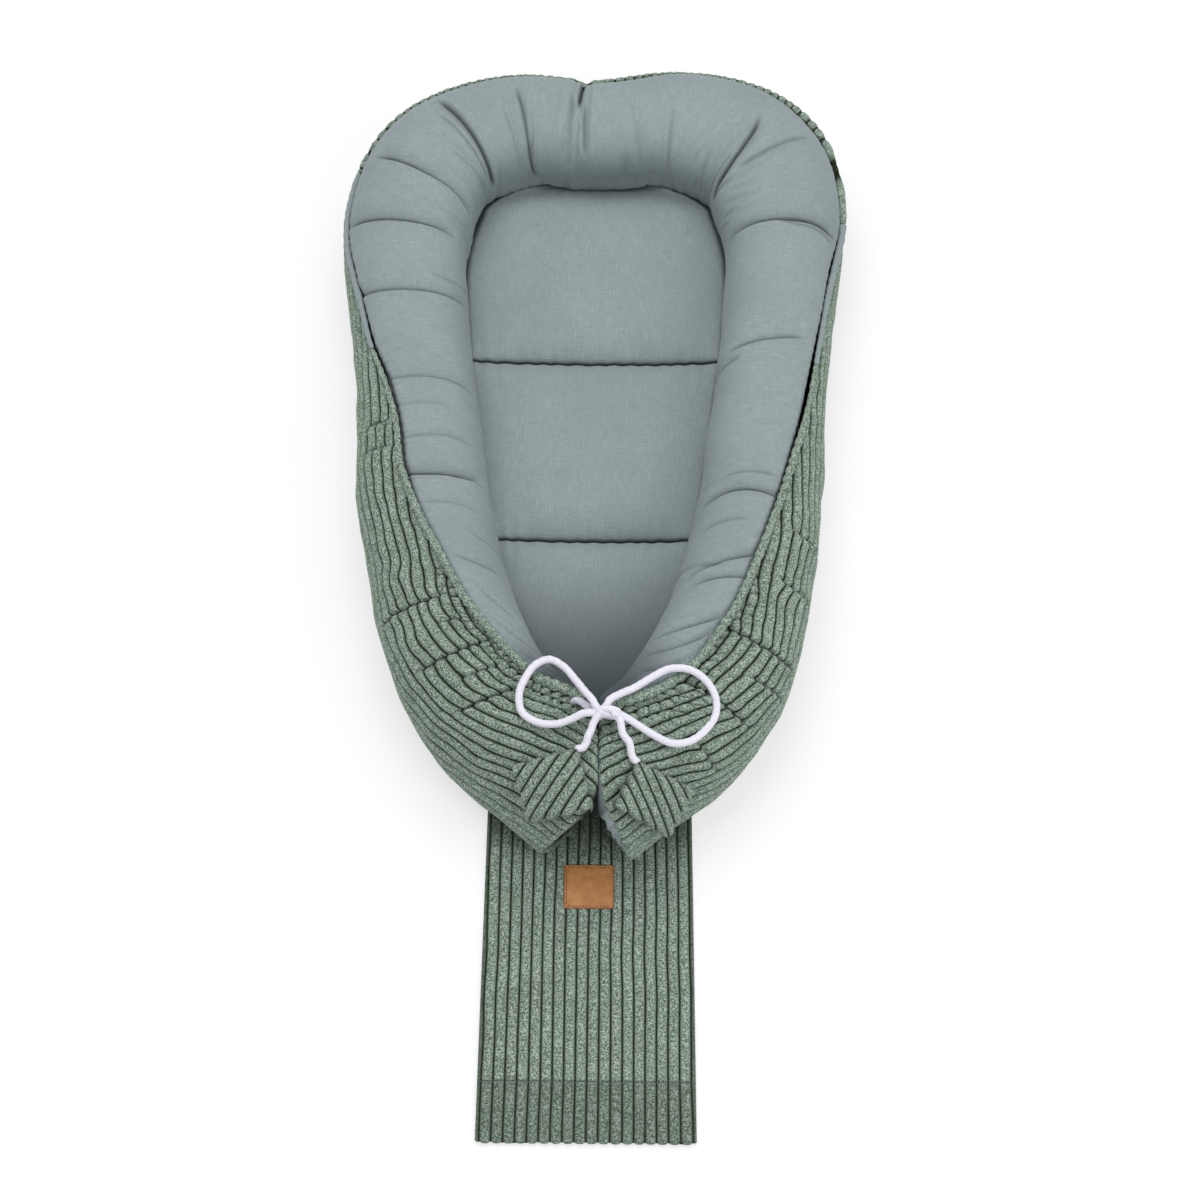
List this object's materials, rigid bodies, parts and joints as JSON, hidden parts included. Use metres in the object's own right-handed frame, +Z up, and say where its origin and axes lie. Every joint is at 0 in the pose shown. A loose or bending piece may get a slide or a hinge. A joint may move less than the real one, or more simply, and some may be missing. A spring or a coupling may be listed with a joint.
{
  "type": "infant lounger",
  "caption": "Padded infant lounger: a stuffed fabric rim round a quilted bed, drawn together at the foot by a cord tied in a bow, with a fold-out corduroy flap",
  "frame": {"origin": "on the floor under the bed, on the rim's parting line", "axes": "+Z up, +Y toward the head end, +X to the right seen from the foot"},
  "size_m": [0.515, 1.1361, 0.1428],
  "materials": {
    "corduroy": "matt cotton corduroy in sage green, ribs about 11 mm apart, soft pile",
    "cotton": "matt plain-woven cotton in grey green, fine vertical slubs",
    "filling": "white polyester fibre filling, hidden",
    "cord": "white twisted cotton cord, faintly cool",
    "leather": "tan leather patch, left bare, with a stitched border"
  },
  "bodies": {
    "nest": {"outer_cover": "corduroy", "flap_root": "corduroy", "inner_lining": "cotton", "end_cap_left": "cotton", "end_cap_right": "cotton", "cord_channel": "cotton", "bed_sheet": "cotton", "base_panel": "cotton", "rim_filling": "filling", "bed_filling_foot": "filling", "bed_filling_middle": "filling", "bed_filling_head": "filling", "drawcord": "cord", "cord_lead_left": "cord", "cord_lead_right": "cord", "bow_loop_left": "cord", "bow_loop_right": "cord", "cord_tail_left": "cord", "cord_tail_right": "cord", "bow_knot": "cord"},
    "flap": {"flap_front": "corduroy", "flap_backing": "cotton", "flap_hem": "corduroy", "label": "leather"},
    "leaf_left": {"leaf_left_front": "corduroy", "leaf_left_back": "corduroy", "leaf_left_filling": "filling"},
    "leaf_right": {"leaf_right_front": "corduroy", "leaf_right_back": "corduroy", "leaf_right_filling": "filling"}
  },
  "joints": [
    {"name": "flap_fold", "type": "hinge", "parent": "nest", "child": "flap", "pos_m": [0, -0.407, 0.0045], "axis": [-1, 0, 0], "range_deg": [0, 70]},
    {"name": "leaf_left_swing", "type": "hinge", "parent": "nest", "child": "leaf_left", "pos_m": [-0.0069, -0.3492, 0.1285], "axis": [-0.7682, 0.6402, 0], "range_deg": [0, 60]},
    {"name": "leaf_right_swing", "type": "hinge", "parent": "nest", "child": "leaf_right", "pos_m": [0.0422, -0.3585, 0.121], "axis": [-0.8383, -0.5452, 0], "range_deg": [0, 60]}
  ]
}
